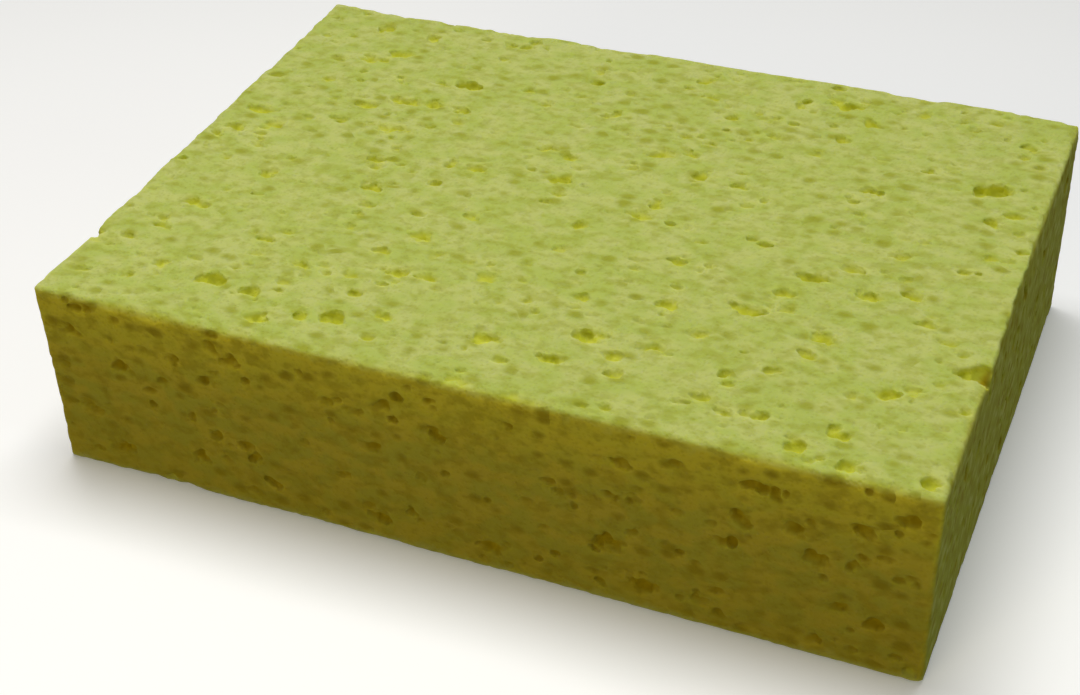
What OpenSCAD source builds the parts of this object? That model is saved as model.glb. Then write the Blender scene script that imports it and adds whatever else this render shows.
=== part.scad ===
// Cleaning sponge: one block of yellow cellulose, sawn flat on six sides.
// The saw opens the round bubbles inside, so every face is set with pores.
// Each pore is a short row of bubbles that run into one another along the grain.
// Millimetres. The origin is the middle of the bottom face, with X along the
// length and the grain, Y from the front face to the back one, and Z up.

/* [Block] */
// Length of the block, along the grain
block_length = 152; // [100:1:220]
// Width of the block, from the front face to the back one
block_width = 107; // [70:1:160]
// Thickness at the front face
front_thickness = 36; // [24:0.5:60]
// Thickness at the back face
back_thickness = 40; // [24:0.5:60]
// Worn bevel along each of the twelve edges
edge_bevel = 0.5; // [0.2:0.1:2]

/* [Pores] */
// Distance between one scattered pore and the next
pore_spacing = 16; // [12:0.5:30]
// Width of the largest scattered pore
wide_pore = 3.6; // [2:0.1:5]
// Width of the smallest scattered pore
narrow_pore = 1.4; // [1:0.1:2]
// Greatest length of a scattered pore along the grain, as a multiple of its width
grain_stretch = 2; // [1:0.1:2.6]
// How far the middle of a bubble lies below the face, as a share of its radius
bubble_sink = 0.3; // [0:0.05:0.5]
// Solid left between a scattered pore and a pore placed by hand
pore_wall = 1.2; // [0.5:0.1:4]

/* [Hidden] */
$fn = 24;

sponge_yellow = [0.80, 0.78, 0.34];

mid_thickness = (front_thickness + back_thickness) / 2;
top_slope = atan((back_thickness - front_thickness) / block_width);
top_width = block_width / cos(top_slope);

// Each face is its middle, its direction along and its direction across, the turn
// that points a bubble's axis into the block, and its size along and across.
top_face = [
    [0, 0, mid_thickness], [1, 0, 0], [0, cos(top_slope), sin(top_slope)],
    [180 + top_slope, 0, 0], [block_length, top_width]
];
bottom_face = [[0, 0, 0], [1, 0, 0], [0, 1, 0], [0, 0, 0], [block_length, block_width]];
front_face = [
    [0, -block_width / 2, front_thickness / 2], [1, 0, 0], [0, 0, 1],
    [-90, 0, 0], [block_length, front_thickness]
];
back_face = [
    [0, block_width / 2, back_thickness / 2], [1, 0, 0], [0, 0, 1],
    [90, 0, 0], [block_length, back_thickness]
];
left_face = [
    [-block_length / 2, 0, mid_thickness / 2], [0, 1, 0], [0, 0, 1],
    [0, 90, 0], [block_width, mid_thickness]
];
right_face = [
    [block_length / 2, 0, mid_thickness / 2], [0, 1, 0], [0, 0, 1],
    [0, -90, 0], [block_width, mid_thickness]
];

// Sizes of the bubbles in a row, as shares of the widest, for rows of one to four
bubble_rows = [[1], [1, 0.75], [0.75, 1, 0.7], [0.65, 1, 0.85, 0.6]];
// How far each of those bubbles lies to the side of its row, as a share of the same size
bubble_drift = [[0], [0.1, -0.25], [-0.25, 0.1, -0.3], [0.25, 0, -0.2, 0.2]];
// A row gains a bubble each time it is longer by this share of its width
bubble_step = 0.5;
// A pore that is longer than wide by no more than this share is one round bubble
round_share = 0.05;

// Pores placed by hand. Each is its place along and across the face, as a share
// of the half face, then its length along the grain and its width.
top_marks = [
    [-0.64, -0.77, 5.8, 3.4], [-0.54, -0.79, 4.2, 2.4], [-0.48, -0.90, 4.2, 2.3],
    [-0.33, -0.82, 4.0, 3.2], [-0.39, -0.85, 2.6, 2.2], [-0.48, -0.61, 2.8, 1.8],
    [-0.27, -0.55, 3.4, 2.0], [-0.20, -0.54, 3.6, 2.0], [-0.28, -0.34, 3.8, 2.0],
    [-0.83, -0.84, 2.6, 1.8], [-0.99, -0.67, 3.0, 2.2], [-0.93, 0.06, 3.8, 2.0],
    [-0.91, 0.19, 6.0, 2.0], [-0.48, -0.14, 4.0, 2.0], [-0.53, 0.02, 2.8, 2.0],
    [-0.56, 0.22, 5.2, 1.9], [-0.80, 0.87, 3.6, 2.4], [-0.70, 0.71, 5.4, 2.6],
    [-0.58, 0.40, 5.0, 2.0], [-0.51, 0.42, 4.0, 2.2], [-0.46, 0.58, 5.6, 3.0],
    [-0.28, 0.08, 4.0, 2.0], [-0.08, 0.11, 4.0, 2.8], [-0.09, 0.24, 2.6, 1.9],
    [0.22, 0.27, 2.6, 2.2], [0.15, -0.01, 4.2, 1.9], [0.01, -0.76, 4.2, 2.0],
    [0.21, 0.66, 2.6, 2.0], [0.46, 0.86, 5.4, 2.6], [0.54, 0.77, 3.2, 2.4],
    [0.86, 0.49, 6.2, 4.4], [0.89, 0.31, 2.4, 2.2], [0.58, -0.16, 5.4, 2.6],
    [0.54, -0.26, 3.8, 2.1], [0.32, -0.43, 4.0, 2.4], [0.49, -0.38, 6.0, 2.4],
    [0.71, -0.20, 4.8, 2.1], [0.79, -0.15, 3.0, 2.1], [0.66, -0.44, 3.8, 2.4],
    [0.82, -0.62, 2.8, 2.4], [0.20, -0.65, 4.4, 2.6], [0.35, -0.64, 3.8, 1.9],
    [0.28, -0.72, 3.0, 2.0], [0.16, -0.79, 5.2, 2.3], [0.49, -0.81, 2.4, 2.2],
    [0.61, -0.83, 3.0, 2.2], [0.70, -0.92, 3.2, 2.8], [0.81, -0.95, 2.8, 2.4],
    [0.96, -0.94, 2.6, 2.6], [0.97, -0.45, 5.6, 4.2]
];
front_marks = [
    [-0.92, 0.60, 3.0, 1.9], [-0.81, 0.30, 3.2, 2.2], [-0.84, -0.70, 4.6, 2.0],
    [-0.66, 0.54, 2.2, 1.8], [-0.51, 0.67, 2.6, 1.6], [-0.58, -0.24, 2.6, 1.9],
    [-0.44, -0.66, 2.8, 1.9], [-0.19, 0.08, 2.8, 1.9], [-0.03, 0.39, 2.8, 1.9],
    [-0.18, -0.75, 2.8, 2.0], [0.08, -0.74, 4.6, 2.1], [0.35, 0.21, 2.6, 1.7],
    [0.34, -0.31, 4.6, 2.6], [0.42, -0.72, 5.2, 2.4], [0.62, 0.31, 2.6, 1.7],
    [0.59, 0.02, 3.4, 2.2], [0.67, 0.67, 6.6, 2.2], [0.77, 0.11, 3.2, 2.1],
    [0.86, 0.50, 3.2, 2.1], [0.94, 0.69, 3.0, 2.0], [0.89, -0.48, 3.4, 2.2]
];
no_marks = [];

function unit(v) = v / norm(v);
function fraction(x) = x - floor(x);

// An outline with every corner cut back by the bevel along both of its sides
function bevelled(outline, bevel) = [
    for (i = [0 : len(outline) - 1])
        let (
            corner = outline[i],
            before = outline[(i + len(outline) - 1) % len(outline)],
            after = outline[(i + 1) % len(outline)]
        )
        each [corner + bevel * unit(before - corner), corner + bevel * unit(after - corner)]
];

// Place on a face, in millimetres from its middle, of a pore placed by hand
function mark_place(face, mark) = [mark[0] * face[4][0] / 2, mark[1] * face[4][1] / 2];

// Whether a pore of that length keeps its wall to every pore placed by hand
function is_clear(place, length, face, marks) =
    len([
        for (mark = marks)
            if (norm(place - mark_place(face, mark)) < (length + mark[2]) / 2 + pore_wall) mark
    ]) == 0;

// The pores scattered on a face, as place, length and width. They fill it evenly,
// the widest first, and each is moved a little off its even place. Where a face has
// pores placed by hand, those are its widest, and the scattered ones come after them.
function scattered(face, stretch, first, marks) =
    let (
        size = face[4],
        margin = wide_pore / 2 + edge_bevel + pore_wall,
        room = [size[0] - stretch * wide_pore - 2 * margin, size[1] - 2 * margin],
        count = floor(size[0] * size[1] / pow(pore_spacing, 2)),
        wider = len(marks)
    )
    [
        for (i = [0 : count - 1])
            let (
                step = first + i,
                even = [fraction(step * 0.7549), fraction(step * 0.5698)],
                shift = [fraction(step * step * 0.6180), fraction(step * step * 0.4142)],
                moved = even + (shift - [0.5, 0.5]) * pore_spacing / 3 / size[0],
                place = [(moved[0] - 0.5) * room[0], (moved[1] - 0.5) * room[1]],
                rank = (wider + i) / (wider + count),
                width = narrow_pore + (wide_pore - narrow_pore) * pow(1 - rank, 2),
                length = width * (1 + (stretch - 1) * shift[0])
            )
            if (is_clear(place, length, face, marks)) [place, length, width]
    ];

// How many bubbles a row of that length and width has after its first
function further_bubbles(length, width) =
    min(len(bubble_rows) - 1, max(0, ceil((length / width - 1 - round_share) / bubble_step)));

// Which way round a row lies: one way on even millimetres of its face, the other on odd ones
function row_way(place) = floor(place[0] + place[1]) % 2 == 0 ? 1 : -1;

// One pore: bubbles in a row along the face that run into one another below it
module pore(face, place, length, width) {
    last = further_bubbles(length, width);
    sizes = bubble_rows[last] * width / 2;
    drift = bubble_drift[last] * width / 2;
    travel = max(0, length - sizes[0] - sizes[last]) * row_way(place);
    translate(face[0] + face[1] * place[0] + face[2] * place[1])
        for (i = [0 : last])
            translate(face[1] * (last == 0 ? 0 : i / last - 0.5) * travel + face[2] * drift[i])
                rotate(face[3])
                    translate([0, 0, bubble_sink * sizes[i]])
                        sphere(sizes[i]);
}

// All the pores of one face: those placed by hand and those scattered between them
module pores(face, stretch, first, marks) {
    for (mark = marks)
        pore(face, mark_place(face, mark), mark[2], mark[3]);
    for (spot = scattered(face, stretch, first, marks))
        pore(face, spot[0], spot[1], spot[2]);
}

// A prism that runs from front to back, as long as the block, whose two lower edges
// are bevelled. It stands on the plane of the bottom face.
module end_bevels() {
    half = block_length / 2;
    height = 2 * (front_thickness + back_thickness);
    rotate([90, 0, 0])
        linear_extrude(2 * block_width, center = true)
            polygon([
                [-half, height], [-half, edge_bevel], [-half + edge_bevel, 0],
                [half - edge_bevel, 0], [half, edge_bevel], [half, height]
            ]);
}

// The sawn block, a little thicker at the back, with all its edges bevelled
module block() {
    half_length = block_length / 2;
    half_width = block_width / 2;
    side_outline = [
        [-half_width, 0], [half_width, 0],
        [half_width, back_thickness], [-half_width, front_thickness]
    ];
    plan_outline = [
        [-half_length, -half_width], [half_length, -half_width],
        [half_length, half_width], [-half_length, half_width]
    ];
    intersection() {
        rotate([90, 0, 90])
            linear_extrude(block_length, center = true)
                polygon(bevelled(side_outline, edge_bevel));
        linear_extrude(front_thickness + back_thickness)
            polygon(bevelled(plan_outline, edge_bevel));
        end_bevels();
        translate([0, 0, mid_thickness])
            rotate([top_slope, 0, 0])
                mirror([0, 0, 1])
                    end_bevels();
    }
}

module sponge() {
    color(sponge_yellow)
        difference() {
            block();
            pores(top_face, grain_stretch, 3, top_marks);
            pores(bottom_face, grain_stretch, 40, no_marks);
            pores(front_face, grain_stretch, 80, front_marks);
            pores(back_face, grain_stretch, 120, no_marks);
            pores(left_face, 1, 160, no_marks);
            pores(right_face, 1, 200, no_marks);
        }
}

sponge();
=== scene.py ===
"""Yellow cellulose cleaning sponge, as it looks: the pored block and its material, with a floor,
lights and a camera.

The sponge's surface is where a field of heights, worked out with numpy on an even grid of points,
passes through zero. The field starts as the distance to the frame's own solid, whose large pores it
keeps, and the smaller pores are then carved out of it.
Lengths are in metres, and sizes given as so many MM are in millimetres.
"""
import math

import bpy
import numpy as np
import openvdb
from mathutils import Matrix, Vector


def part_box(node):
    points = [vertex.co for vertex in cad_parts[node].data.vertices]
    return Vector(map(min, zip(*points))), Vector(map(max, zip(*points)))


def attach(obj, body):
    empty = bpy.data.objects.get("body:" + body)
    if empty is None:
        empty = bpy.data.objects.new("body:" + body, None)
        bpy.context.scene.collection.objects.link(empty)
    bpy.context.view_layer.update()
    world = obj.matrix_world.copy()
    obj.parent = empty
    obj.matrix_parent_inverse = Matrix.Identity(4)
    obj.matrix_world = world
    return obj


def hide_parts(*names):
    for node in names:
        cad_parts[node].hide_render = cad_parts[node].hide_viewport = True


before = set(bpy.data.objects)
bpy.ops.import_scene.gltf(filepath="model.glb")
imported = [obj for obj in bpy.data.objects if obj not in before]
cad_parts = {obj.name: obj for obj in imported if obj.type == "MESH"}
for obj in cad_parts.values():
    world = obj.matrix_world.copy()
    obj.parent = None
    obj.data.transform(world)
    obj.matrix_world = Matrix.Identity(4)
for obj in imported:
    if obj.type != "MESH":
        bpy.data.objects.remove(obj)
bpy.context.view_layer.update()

MM = 0.001

# The photograph's view of the block
CAMERA_PLACE = (0.1033, -0.2474, 0.1991)
CAMERA_TURN_DEG = (54.37, 1.75, 23.04)
CAMERA_LENS_MM = 60.2
CAMERA_SENSOR_MM = 36

# The soft square lights: name, place, aim, power in watts and colour
LIGHT_SIZE = 0.5
LIGHTS = (
    ("overhead", (-0.07, 0.09, 0.78), (0.05, -0.9, 0), 6.2, (1, 1, 1)),
    ("front_fill", (-0.12, -0.85, 0.3), (0, 0, 0.02), 2.37, (1, 0.87, 0.6)),
    ("side_fill", (0.9, -0.1, 0.3), (0, 0, 0.02), 1.05, (0.85, 1, 0.95)),
)
ROOM_GREY = 0.08
# Half the side of the floor, and the glow that keeps it pale
FLOOR_HALF = 4
FLOOR_GLOW = 0.12

# The grid that the surface is worked out on: its step, how many steps from the solid its heights
# reach, and how many steps it goes on past the block
STEP = 0.3 * MM
BAND_STEPS = 5
SPARE_STEPS = 6

# Triangles that the finished surface keeps, and the turn between two past which their edge is sharp
TRIANGLES = 190000
SHARP_DEG = 55
SEED = 7

# The front's top edge is looked for this near to the front
NEAR_FRONT = 2 * MM

# The smaller pores, in two sizes: widths, surface for each pore, and greatest length over width
PORE_SIZES = (
    {"width": (1.5 * MM, 2.2 * MM), "area": 300 * MM**2, "stretch": 2.0},
    {"width": (1.0 * MM, 1.5 * MM), "area": 34 * MM**2, "stretch": 2.2},
)
# How far the middle of a pore lies below the face, as a share of its half width
PORE_SINK = (-0.75, 0.35)
# Solid left between a pore's mouth and the edges of its face
EDGE_WALL = 0.5 * MM
# How far a pore's lip is rounded
LIP = 0.3 * MM

# Bites out of the rims of the large pores: the share of the rim's points that have one, how far
# off the point it may lie, its half width, and its greatest length over its width
BITE_SHARE = 0.07
BITE_SHIFT = 0.35 * MM
BITE_HALF = (0.3 * MM, 0.75 * MM)
BITE_STRETCH = 1.8
# The rim's points lie on a sawn face to within this, and this far from the block's edges
ON_FACE = 0.01 * MM
OFF_EDGE = 0.9 * MM

# Unevenness of the sawn faces and of the pores' walls, the size of its lumps, the share of lumps of
# half that size, and the depth from which a wall has all of it
FACE_LUMP = 0.03 * MM
WALL_LUMP = 0.28 * MM
LUMP_SIZE = 1.3 * MM
FINE_SHARE = 0.6
WALL_DEPTH = 0.8 * MM
# Long waves of the saw on the faces: their height, how far they are shifted inwards as a share of
# it, and their length
SAW_WAVE = 0.08 * MM
SAW_SHIFT = 0.5
SAW_WAVE_SIZE = 18 * MM
# Wear along the edges: its depth, how far in it reaches, and the heights and sizes of its short
# and long lumps
WEAR = 0.2 * MM
WEAR_REACH = 1.7 * MM
WEAR_LUMPS = ((0.4 * MM, 2.2 * MM), (0.75 * MM, 9 * MM))
# The upright edges and the bottom ones have less of it by this share, from this far below the top
LOWER_LESS = 0.8
LOWER_REACH = 3 * MM
# Along the front its lumps are higher by this share, which fades out this far behind the front
FRONT_MORE = 1.5
FRONT_REACH = 4 * MM

# Over how great a difference in depth the colour of one face passes into that of the next
FACE_FADE = 1.2 * MM


class Block:
    """The sawn block without its pores, read from the frame: its corners and its sloping top.

    The top's slope is that of the line from the highest point near the front to the highest of all.
    """

    def __init__(self):
        self.low, self.high = (np.array(corner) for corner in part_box("sponge"))
        points = solid_triangles("sponge")[0].astype(float)
        near_front = points[points[:, 1] < self.low[1] + NEAR_FRONT]
        front = near_front[near_front[:, 2].argmax()]
        back = points[points[:, 2].argmax()]
        self.slope = (back[2] - front[2]) / (back[1] - front[1])
        self.front_top = front[2] - (front[1] - self.low[1]) * self.slope

    def top(self, y):
        """The height of the sloping top."""
        return self.front_top + (y - self.low[1]) * self.slope

    def distances(self, x, y, z):
        """How far a point lies below the nearer end, below the nearer of front and back, and below
        the nearer of top and bottom."""
        ends = np.minimum(x - self.low[0], self.high[0] - x)
        sides = np.minimum(y - self.low[1], self.high[1] - y)
        return ends, sides, np.minimum(z - self.low[2], self.top(y) - z)

    def depth(self, x, y, z):
        """How far a point lies below the nearest sawn face: the least of its distances."""
        ends, sides, level = self.distances(x, y, z)
        return np.minimum(np.minimum(ends, sides), level)

    def edge_depth(self, x, y, z):
        """About how far a point is from the nearest edge: the middle one of its three distances."""
        ends, sides, level = self.distances(x, y, z)
        return np.maximum(np.minimum(ends, sides), np.minimum(np.maximum(ends, sides), level))

    def faces(self):
        """Each sawn face as its low corner, its two sides as vectors, and its inward direction."""
        size = self.high - self.low
        along, across, up = np.diag(size)
        rise = np.array((0, size[1], self.high[2] - self.front_top))
        low_top = np.array((self.low[0], self.low[1], self.front_top))
        short_up = np.array((0, 0, self.front_top - self.low[2]))
        return (
            (low_top, along, rise, (0, 0, -1)),
            (self.low, along, across, (0, 0, 1)),
            (self.low, along, short_up, (0, 1, 0)),
            (self.low + across, along, up, (0, -1, 0)),
            (self.low, across, short_up, (1, 0, 0)),
            (self.low + along, across, short_up, (-1, 0, 0)),
        )


def solid_triangles(node):
    """The points and the triangles of a node of the frame."""
    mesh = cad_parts[node].data
    mesh.calc_loop_triangles()
    points = np.empty(len(mesh.vertices) * 3, np.float32)
    mesh.vertices.foreach_get("co", points)
    corners = np.empty(len(mesh.loop_triangles) * 3, np.int32)
    mesh.loop_triangles.foreach_get("vertices", corners)
    return points.reshape(-1, 3), corners.reshape(-1, 3).astype(np.uint32)


class Field:
    """Heights on an even grid of points: under zero inside the sponge and over zero outside it.

    At the start the height is the distance to the frame's solid, cut off a few steps from it.
    """

    def __init__(self, block):
        self.block = block
        self.first = np.floor(block.low / STEP).astype(int) - SPARE_STEPS
        last = np.ceil(block.high / STEP).astype(int) + SPARE_STEPS
        self.shape = tuple(int(n) for n in last - self.first)
        self.places = [
            ((np.arange(n) + start) * STEP).astype(np.float32)
            for n, start in zip(self.shape, self.first)
        ]
        points, triangles = solid_triangles("sponge")
        distance = openvdb.FloatGrid.createLevelSetFromPolygons(
            points,
            triangles=triangles,
            transform=openvdb.createLinearTransform(voxelSize=STEP),
            halfWidth=BAND_STEPS,
        )
        self.height = np.empty(self.shape, np.float32)
        distance.copyToArray(self.height, ijk=self.corner())

    def corner(self):
        """The grid's first point, in steps."""
        return tuple(int(i) for i in self.first)

    def noise(self, size, rng):
        """Smooth lumps of about that size, from -1 to 1: random heights on a coarse grid, with the
        heights between them eased from one to the next along each direction in turn."""
        coarse = [int(n * STEP / size) + 3 for n in self.shape]
        value = rng.uniform(-1, 1, coarse).astype(np.float32)
        for i, n in enumerate(self.shape):
            place = np.arange(n) * STEP / size
            below = place.astype(int)
            share = place - below
            share = (share * share * (3 - 2 * share)).astype(np.float32)
            line = [1, 1, 1]
            line[i] = n
            share = share.reshape(line)
            value = value.take(below, i) * (1 - share) + value.take(below + 1, i) * share
        return value

    def lumps(self, rng):
        """Lumps of the foam, with finer ones of half their size on them."""
        return self.noise(LUMP_SIZE, rng) + FINE_SHARE * self.noise(LUMP_SIZE / 2, rng)

    def roughen(self, rng):
        """Lumps on every surface, low on the sawn faces and higher on the walls of the pores, with
        the long waves that the saw leaves and the wear of the edges.

        Wear is a depth plus its lumps, and never under zero. All of it counts at an edge and none
        at its reach. Less of it counts below the top, and its lumps are higher along the front.
        """
        x, y, z = np.ix_(*self.places)
        inside = np.clip(self.block.depth(x, y, z) / WALL_DEPTH, 0, 1)
        self.height += self.lumps(rng) * (FACE_LUMP + (WALL_LUMP - FACE_LUMP) * inside)
        self.height += (self.noise(SAW_WAVE_SIZE, rng) + SAW_SHIFT) * SAW_WAVE * (1 - inside)
        in_front = np.clip(1 - (y - self.block.low[1]) / FRONT_REACH, 0, 1)
        wear = sum(height * self.noise(size, rng) for height, size in WEAR_LUMPS)
        wear *= 1 + FRONT_MORE * in_front
        near_edge = np.clip(1 - self.block.edge_depth(x, y, z) / WEAR_REACH, 0, 1)
        lower = np.clip((self.block.top(y) - z) / LOWER_REACH, 0, 1)
        self.height += np.clip(WEAR + wear, 0, None) * near_edge * (1 - LOWER_LESS * lower)

    def carve(self, middles, halves, rng):
        """Takes egg-shaped pores out, each given by its middle and its half sizes.

        A pore's own height is over zero inside its egg and under zero outside it: one, less the
        distance from the middle in half sizes, and all that times the least half size. Lumps are
        added to it, and the field's height becomes the greater of the two, eased where they meet.
        """
        pores = np.full(self.shape, -BAND_STEPS * STEP, np.float32)
        low, high = (
            np.stack([np.searchsorted(line, side[:, i]) for i, line in enumerate(self.places)], 1)
            for side in (middles - halves - STEP, middles + halves + STEP)
        )
        for middle, half, first, last in zip(middles, halves, low, high):
            window = tuple(slice(a, b) for a, b in zip(first, last))
            near = (line[part] for line, part in zip(self.places, window))
            x, y, z = np.ix_(*((line - m) / h for line, m, h in zip(near, middle, half)))
            egg = (1 - np.sqrt(x * x + y * y + z * z)) * min(half)
            np.maximum(pores[window], egg, out=pores[window])
        pores += WALL_LUMP * self.lumps(rng)
        ease = np.clip(LIP - np.abs(pores - self.height), 0, None)
        self.height = np.maximum(self.height, pores) + ease * ease / (4 * LIP)

    def surface(self):
        """The points and faces where the height passes through zero. The faces all have four sides,
        because none are merged."""
        grid = openvdb.FloatGrid(float(self.height.max()))
        grid.transform = openvdb.createLinearTransform(voxelSize=STEP)
        grid.copyFromArray(self.height, ijk=self.corner())
        points, _, quads = grid.convertToPolygons(isovalue=0.0, adaptivity=0.0)
        return points, quads.astype(np.int32)


def small_pores(block, rng):
    """The middles and half sizes of the smaller pores, scattered over each sawn face: eggs that lie
    along the grain, with most middles near the face, so that some are deep and some are dishes."""
    middles, halves = [], []
    for corner, along, across, inward in block.faces():
        length, width = np.linalg.norm(along), np.linalg.norm(across)
        for size in PORE_SIZES:
            count = int(length * width / size["area"])
            wide = rng.uniform(*size["width"], count)[:, None]
            stretch = rng.uniform(1.0, size["stretch"], count)
            half = wide / 2 * np.stack((stretch, np.ones(count), np.ones(count)), 1)
            sink = rng.uniform(*PORE_SINK, count)[:, None] * wide / 2
            middle = corner + np.array(inward) * sink
            for side, reach in ((along, length), (across, width)):
                margin = (half @ np.abs(side) / reach + EDGE_WALL) / reach
                share = margin + rng.uniform(0, 1, count) * (1 - 2 * margin)
                middle = middle + share[:, None] * side
            middles.append(middle)
            halves.append(half)
    return np.concatenate(middles), np.concatenate(halves)


def rim_bites(block, rng):
    """The middles and half sizes of bites out of the rims of the frame's large pores, which make
    their round outlines uneven. A rim's points are the solid's that lie on a sawn face, off the
    block's edges."""
    points = solid_triangles("sponge")[0].astype(float)
    x, y, z = points.T
    on_rim = (block.depth(x, y, z) < ON_FACE) & (block.edge_depth(x, y, z) > OFF_EDGE)
    rim = np.unique(np.round(points[on_rim] / ON_FACE) * ON_FACE, axis=0)
    rim = rim[rng.uniform(0, 1, len(rim)) < BITE_SHARE]
    middles = rim + rng.uniform(-BITE_SHIFT, BITE_SHIFT, rim.shape)
    halves = rng.uniform(*BITE_HALF, len(rim))[:, None] * np.ones(3)
    halves[:, 0] *= rng.uniform(1, BITE_STRETCH, len(rim))
    return middles, halves


def largest_part(points, quads):
    """The points and faces of the one surface that the block has, without cut-off crumbs or closed
    hollows: each point takes the lowest number among those it is joined to until none changes."""
    group = np.arange(len(points))
    while True:
        lowest = group[quads].min(1)
        new = group.copy()
        for i in range(4):
            np.minimum.at(new, quads[:, i], lowest)
        new = new[new]
        if (new == group).all():
            break
        group = new
    keep = np.bincount(group).argmax()
    kept = group == keep
    number = np.cumsum(kept) - 1
    faces = quads[kept[quads[:, 0]]]
    return points[kept], number[faces].astype(np.int32)


def mesh_object(name, points, faces):
    """A mesh object from whole arrays of points and of faces with equally many corners."""
    mesh = bpy.data.meshes.new(name)
    mesh.vertices.add(len(points))
    mesh.vertices.foreach_set("co", points.astype(np.float32).ravel())
    mesh.loops.add(faces.size)
    mesh.loops.foreach_set("vertex_index", faces.ravel())
    mesh.polygons.add(len(faces))
    starts = np.arange(0, faces.size, faces.shape[1], dtype=np.int32)
    mesh.polygons.foreach_set("loop_start", starts)
    mesh.update(calc_edges=True)
    piece = bpy.data.objects.new(name, mesh)
    bpy.context.scene.collection.objects.link(piece)
    return piece


def thin_out(piece, triangles):
    """Puts the piece's flatter stretches in fewer triangles, down to that many in all."""
    whole = piece.data
    whole.calc_loop_triangles()
    thin = piece.modifiers.new("thin", "DECIMATE")
    thin.ratio = min(1.0, triangles / len(whole.loop_triangles))
    thin.use_collapse_triangulate = True
    graph = bpy.context.evaluated_depsgraph_get()
    piece.data = bpy.data.meshes.new_from_object(piece.evaluated_get(graph))
    piece.modifiers.clear()
    bpy.data.meshes.remove(whole)
    piece.data.name = piece.name


def add_attributes(piece, block):
    """Gives each point what the material reads: its depth below the sawn faces in millimetres, how
    far it belongs to an upright face and to one of the two ends, which carry painted shade, and its
    share of the height, which gives the upright faces painted light towards the top and painted
    shade towards the bottom."""
    mesh = piece.data
    points = np.empty(len(mesh.vertices) * 3, np.float32)
    mesh.vertices.foreach_get("co", points)
    x, y, z = points.reshape(-1, 3).T
    ends, sides, level = block.distances(x, y, z)
    depth = np.clip(block.depth(x, y, z), 0, None)
    read = {
        "depth": depth / MM,
        "side": np.clip((level - depth) / FACE_FADE, 0, 1),
        "end": np.clip((np.minimum(sides, level) - ends) / FACE_FADE, 0, 1),
        "rise": (z - block.low[2]) / (block.top(y) - block.low[2]),
    }
    for name, value in read.items():
        attribute = mesh.attributes.new(name, "FLOAT", "POINT")
        attribute.data.foreach_set("value", value.astype(np.float32))


def make_sponge():
    """The sponge: the field of the block, roughened and pored, and its zero surface thinned."""
    rng = np.random.default_rng(SEED)
    block = Block()
    field = Field(block)
    field.roughen(rng)
    pores, bites = small_pores(block, rng), rim_bites(block, rng)
    field.carve(*(np.concatenate(pair) for pair in zip(pores, bites)), rng)
    points, quads = largest_part(*field.surface())
    sponge = mesh_object("pored_block", points, quads)
    thin_out(sponge, TRIANGLES)
    add_attributes(sponge, block)
    sponge.data.set_sharp_from_angle(angle=math.radians(SHARP_DEG))
    return sponge


class Nodes:
    """Short ways to add and join the nodes of one material."""

    def __init__(self, name):
        self.material = bpy.data.materials.new(name)
        self.material.use_nodes = True
        self.tree = self.material.node_tree
        self.shader = self.tree.nodes["Principled BSDF"]

    def add(self, kind, settings=None, **inputs):
        """A node with its settings, and with values or other nodes' sockets put into its inputs."""
        node = self.tree.nodes.new("ShaderNode" + kind)
        for key, value in (settings or {}).items():
            setattr(node, key, value)
        for key, value in inputs.items():
            self.put(node.inputs[key.replace("_", " ")], value)
        return node

    def put(self, socket, value):
        """Sets a socket, or links another socket to it."""
        if isinstance(value, bpy.types.NodeSocket):
            self.tree.links.new(value, socket)
        else:
            socket.default_value = value

    def math(self, operation, *values):
        """One sum on one to three values or sockets."""
        node = self.tree.nodes.new("ShaderNodeMath")
        node.operation = operation
        for socket, value in zip(node.inputs, values):
            self.put(socket, value)
        return node.outputs[0]

    def ramp(self, value, low, high, to_low=0.0, to_high=1.0):
        """The value eased from one range into another."""
        node = self.add("MapRange", {"interpolation_type": "SMOOTHSTEP"})
        for socket, number in zip(node.inputs, (value, low, high, to_low, to_high)):
            self.put(socket, number)
        return node.outputs[0]

    def mix(self, share, first, second):
        """Two colours mixed by a share."""
        node = self.add("Mix", {"data_type": "RGBA"})
        self.put(node.inputs[0], share)
        self.put(node.inputs[6], first)
        self.put(node.inputs[7], second)
        return node.outputs[2]


# The top: its two tones, its darker colour for mottles and for the painted shade in its marks and
# small cells, and its pores
PALE = (0.43, 0.50, 0.11, 1)
CREAM = (0.50, 0.54, 0.16, 1)
OLIVE = (0.30, 0.32, 0.02, 1)
DEEP = (0.56, 0.58, 0.045, 1)
# The upright faces: their two tones, partly their own and partly painted shade that makes them
# warmer and darker than the top; their darker colour for mottles, painted shade in their small
# cells and painted shade at the bottom; their painted light towards the top; their pores, darker
# than the top's partly as painted shade
OCHRE = (0.48, 0.40, 0.035, 1)
MOSS = (0.41, 0.38, 0.035, 1)
BROWN = (0.28, 0.22, 0.006, 1)
PAINTED_LIGHT_AMBER = (0.70, 0.63, 0.04, 1)
DARK = (0.37, 0.28, 0.004, 1)
# The two ends: their tone, partly their own and partly painted cool shade that makes them
# greener and darker than the top, and their light flecks
LICHEN = (0.40, 0.395, 0.042, 1)
ASH = (0.70, 0.68, 0.20, 1)


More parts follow.
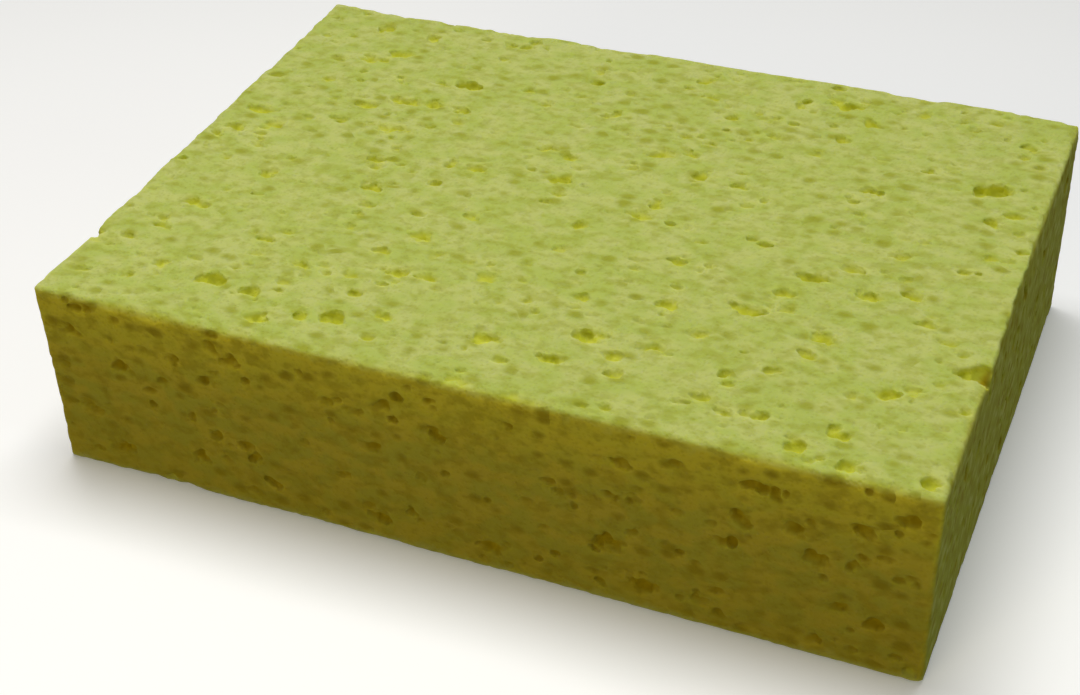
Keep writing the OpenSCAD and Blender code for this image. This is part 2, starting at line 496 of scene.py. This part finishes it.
def cellulose():
    """Dry cellulose foam: pale on the sawn skin and fuller yellow in the pores, with fine cells.
    Its marks and cells are darkened as painted shade, its upright faces and ends are partly painted
    shade, and its upright faces have painted light towards the top and painted shade towards the
    bottom.

    Scales are in cells to the metre, and the grain along x stretches all but the finest cells."""
    n = Nodes("cellulose")
    place = n.add("TexCoord").outputs["Object"]
    along = n.add("Mapping", Vector=place, Scale=(0.62, 0.88, 0.95)).outputs[0]
    depth = n.add("Attribute", {"attribute_name": "depth"}).outputs["Fac"]
    side = n.add("Attribute", {"attribute_name": "side"}).outputs["Fac"]
    end = n.add("Attribute", {"attribute_name": "end"}).outputs["Fac"]
    rise = n.add("Attribute", {"attribute_name": "rise"}).outputs["Fac"]

    # The patterns: soft patches, finer mottles, flecks on the ends, shallow marks of mixed sizes,
    # and the finest cells
    blotch = n.add("TexNoise", Vector=along, Scale=300, Detail=2).outputs["Fac"]
    mottle = n.add("TexNoise", Vector=along, Scale=650, Detail=2, Roughness=0.5).outputs["Fac"]
    fleck = n.add("TexNoise", Vector=place, Scale=380, Detail=2, Roughness=0.4).outputs["Fac"]
    marks = n.add("TexVoronoi", Vector=along, Scale=400)
    pick = n.add("SeparateColor", Color=marks.outputs["Color"]).outputs[0]
    reach = n.ramp(pick, 0.1, 1.0, 0.0, 0.44)
    mark = n.ramp(n.math("SUBTRACT", marks.outputs["Distance"], reach), -0.3, 0.1, 1.0, 0.0)
    cells = n.add("TexVoronoi", Vector=place, Scale=1300).outputs["Distance"]
    cell = n.ramp(cells, 0.1, 0.5, 1.0, 0.0)

    # The sawn faces' tones, those of the upright faces and the ends partly painted shade, and on
    # the upright faces painted light towards the top and painted shade towards the bottom; then
    # mottles, and marks and cells darkened as painted shade; then the pores' colours, which come in
    # with depth
    top = n.mix(n.ramp(blotch, 0.35, 0.65), PALE, CREAM)
    # Partly painted shade: the upright faces' tones are warmer and darker than the top's
    sides = n.mix(n.ramp(blotch, 0.4, 0.6), OCHRE, MOSS)
    # Partly painted cool shade: the ends' tones are greener and darker than the top's
    ends = n.mix(n.ramp(fleck, 0.34, 0.54, 0.65, 1.0), BROWN, LICHEN)
    ends = n.mix(n.ramp(fleck, 0.5, 0.7, 0.0, 0.35), ends, ASH)
    # Painted light: the upright faces are lighter towards the top
    sides = n.mix(n.ramp(rise, 0.5, 1.05, 0.0, 0.7), sides, PAINTED_LIGHT_AMBER)
    # Painted shade: the upright faces are darker towards the bottom
    sides = n.mix(n.ramp(rise, 0.0, 0.6, 0.35, 0.0), sides, BROWN)
    sides = n.mix(end, sides, ends)
    colour = n.mix(side, top, sides)
    # The darker colour: the foam's own tone in the mottles, painted shade in the marks and cells
    mottle_and_painted_shade = n.mix(side, OLIVE, BROWN)
    mottled = n.ramp(mottle, 0.42, 0.7, 0.0, 0.45)
    mottled = n.math("MULTIPLY", mottled, n.ramp(end, 0.0, 1.0, 1.0, 0.5))
    colour = n.mix(mottled, colour, mottle_and_painted_shade)
    # Painted shade: the marks and the finest cells are darkened as if shaded in their hollows
    colour = n.mix(n.math("MULTIPLY", mark, n.ramp(side, 0.0, 1.0, 0.75, 0.8)), colour, mottle_and_painted_shade)
    colour = n.mix(n.math("MULTIPLY", cell, n.ramp(end, 0.0, 1.0, 0.15, 0.05)), colour, mottle_and_painted_shade)
    # The pores' colours; those of the upright faces are darker than the top's, partly as painted
    # shade
    colour = n.mix(n.ramp(depth, 0.15, 1.1), colour, n.mix(side, DEEP, DARK))

    # The same patterns as relief, lower on the ends
    height = n.math("MULTIPLY_ADD", mark, -1.0, n.math("MULTIPLY", mottle, -1.2))
    height = n.math("MULTIPLY_ADD", cell, -0.3, height)
    height = n.math("MULTIPLY", height, n.ramp(end, 0.0, 1.0, 1.0, 0.45))
    bump = n.add("Bump", Height=height, Strength=0.6, Distance=0.4 * MM)

    n.put(n.shader.inputs["Base Color"], colour)
    n.put(n.shader.inputs["Normal"], bump.outputs[0])
    n.shader.inputs["Roughness"].default_value = 0.95
    n.shader.inputs["Specular IOR Level"].default_value = 0.08
    n.shader.inputs["Subsurface Weight"].default_value = 0.7
    n.shader.inputs["Subsurface Radius"].default_value = (1.0, 0.95, 0.12)
    n.shader.inputs["Subsurface Scale"].default_value = 3.0 * MM
    return n.material


def pale_floor():
    """A plain pale floor far wider than the view."""
    corners = FLOOR_HALF * np.array(((-1, -1, 0), (1, -1, 0), (1, 1, 0), (-1, 1, 0)))
    floor = mesh_object("floor", corners, np.array(((0, 1, 2, 3),), np.int32))
    n = Nodes("pale_floor")
    n.shader.inputs["Base Color"].default_value = (0.96, 0.96, 0.95, 1)
    n.shader.inputs["Emission Color"].default_value = (1, 1, 1, 1)
    n.shader.inputs["Emission Strength"].default_value = FLOOR_GLOW
    n.shader.inputs["Roughness"].default_value = 0.8
    floor.data.materials.append(n.material)
    floor.visible_diffuse = False


def soft_light(name, place, aim, power, colour):
    """A square soft light at a place, turned towards an aim."""
    light = bpy.data.lights.new(name, "AREA")
    light.size = LIGHT_SIZE
    light.energy = power
    light.color = colour
    lamp = bpy.data.objects.new(name, light)
    lamp.location = place
    way = Vector(aim) - Vector(place)
    lamp.rotation_euler = way.to_track_quat("-Z", "Y").to_euler()
    bpy.context.scene.collection.objects.link(lamp)


def studio():
    """The floor, the soft lights, and the grey of the room."""
    pale_floor()
    for light in LIGHTS:
        soft_light(*light)
    world = bpy.data.worlds.new("room")
    world.use_nodes = True
    background = world.node_tree.nodes["Background"]
    background.inputs["Color"].default_value = (1, 1, 1, 1)
    background.inputs["Strength"].default_value = ROOM_GREY
    bpy.context.scene.world = world
    bpy.context.scene.view_settings.view_transform = "Standard"


def photograph_camera():
    """The camera at the photograph's viewpoint."""
    camera = bpy.data.cameras.new("camera")
    camera.lens = CAMERA_LENS_MM
    camera.sensor_width = CAMERA_SENSOR_MM
    holder = bpy.data.objects.new("camera", camera)
    holder.location = CAMERA_PLACE
    holder.rotation_euler = [math.radians(turn) for turn in CAMERA_TURN_DEG]
    bpy.context.scene.collection.objects.link(holder)
    bpy.context.scene.camera = holder


photograph_camera()
studio()
sponge = make_sponge()
sponge.data.materials.append(cellulose())
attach(sponge, "root")
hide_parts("sponge")
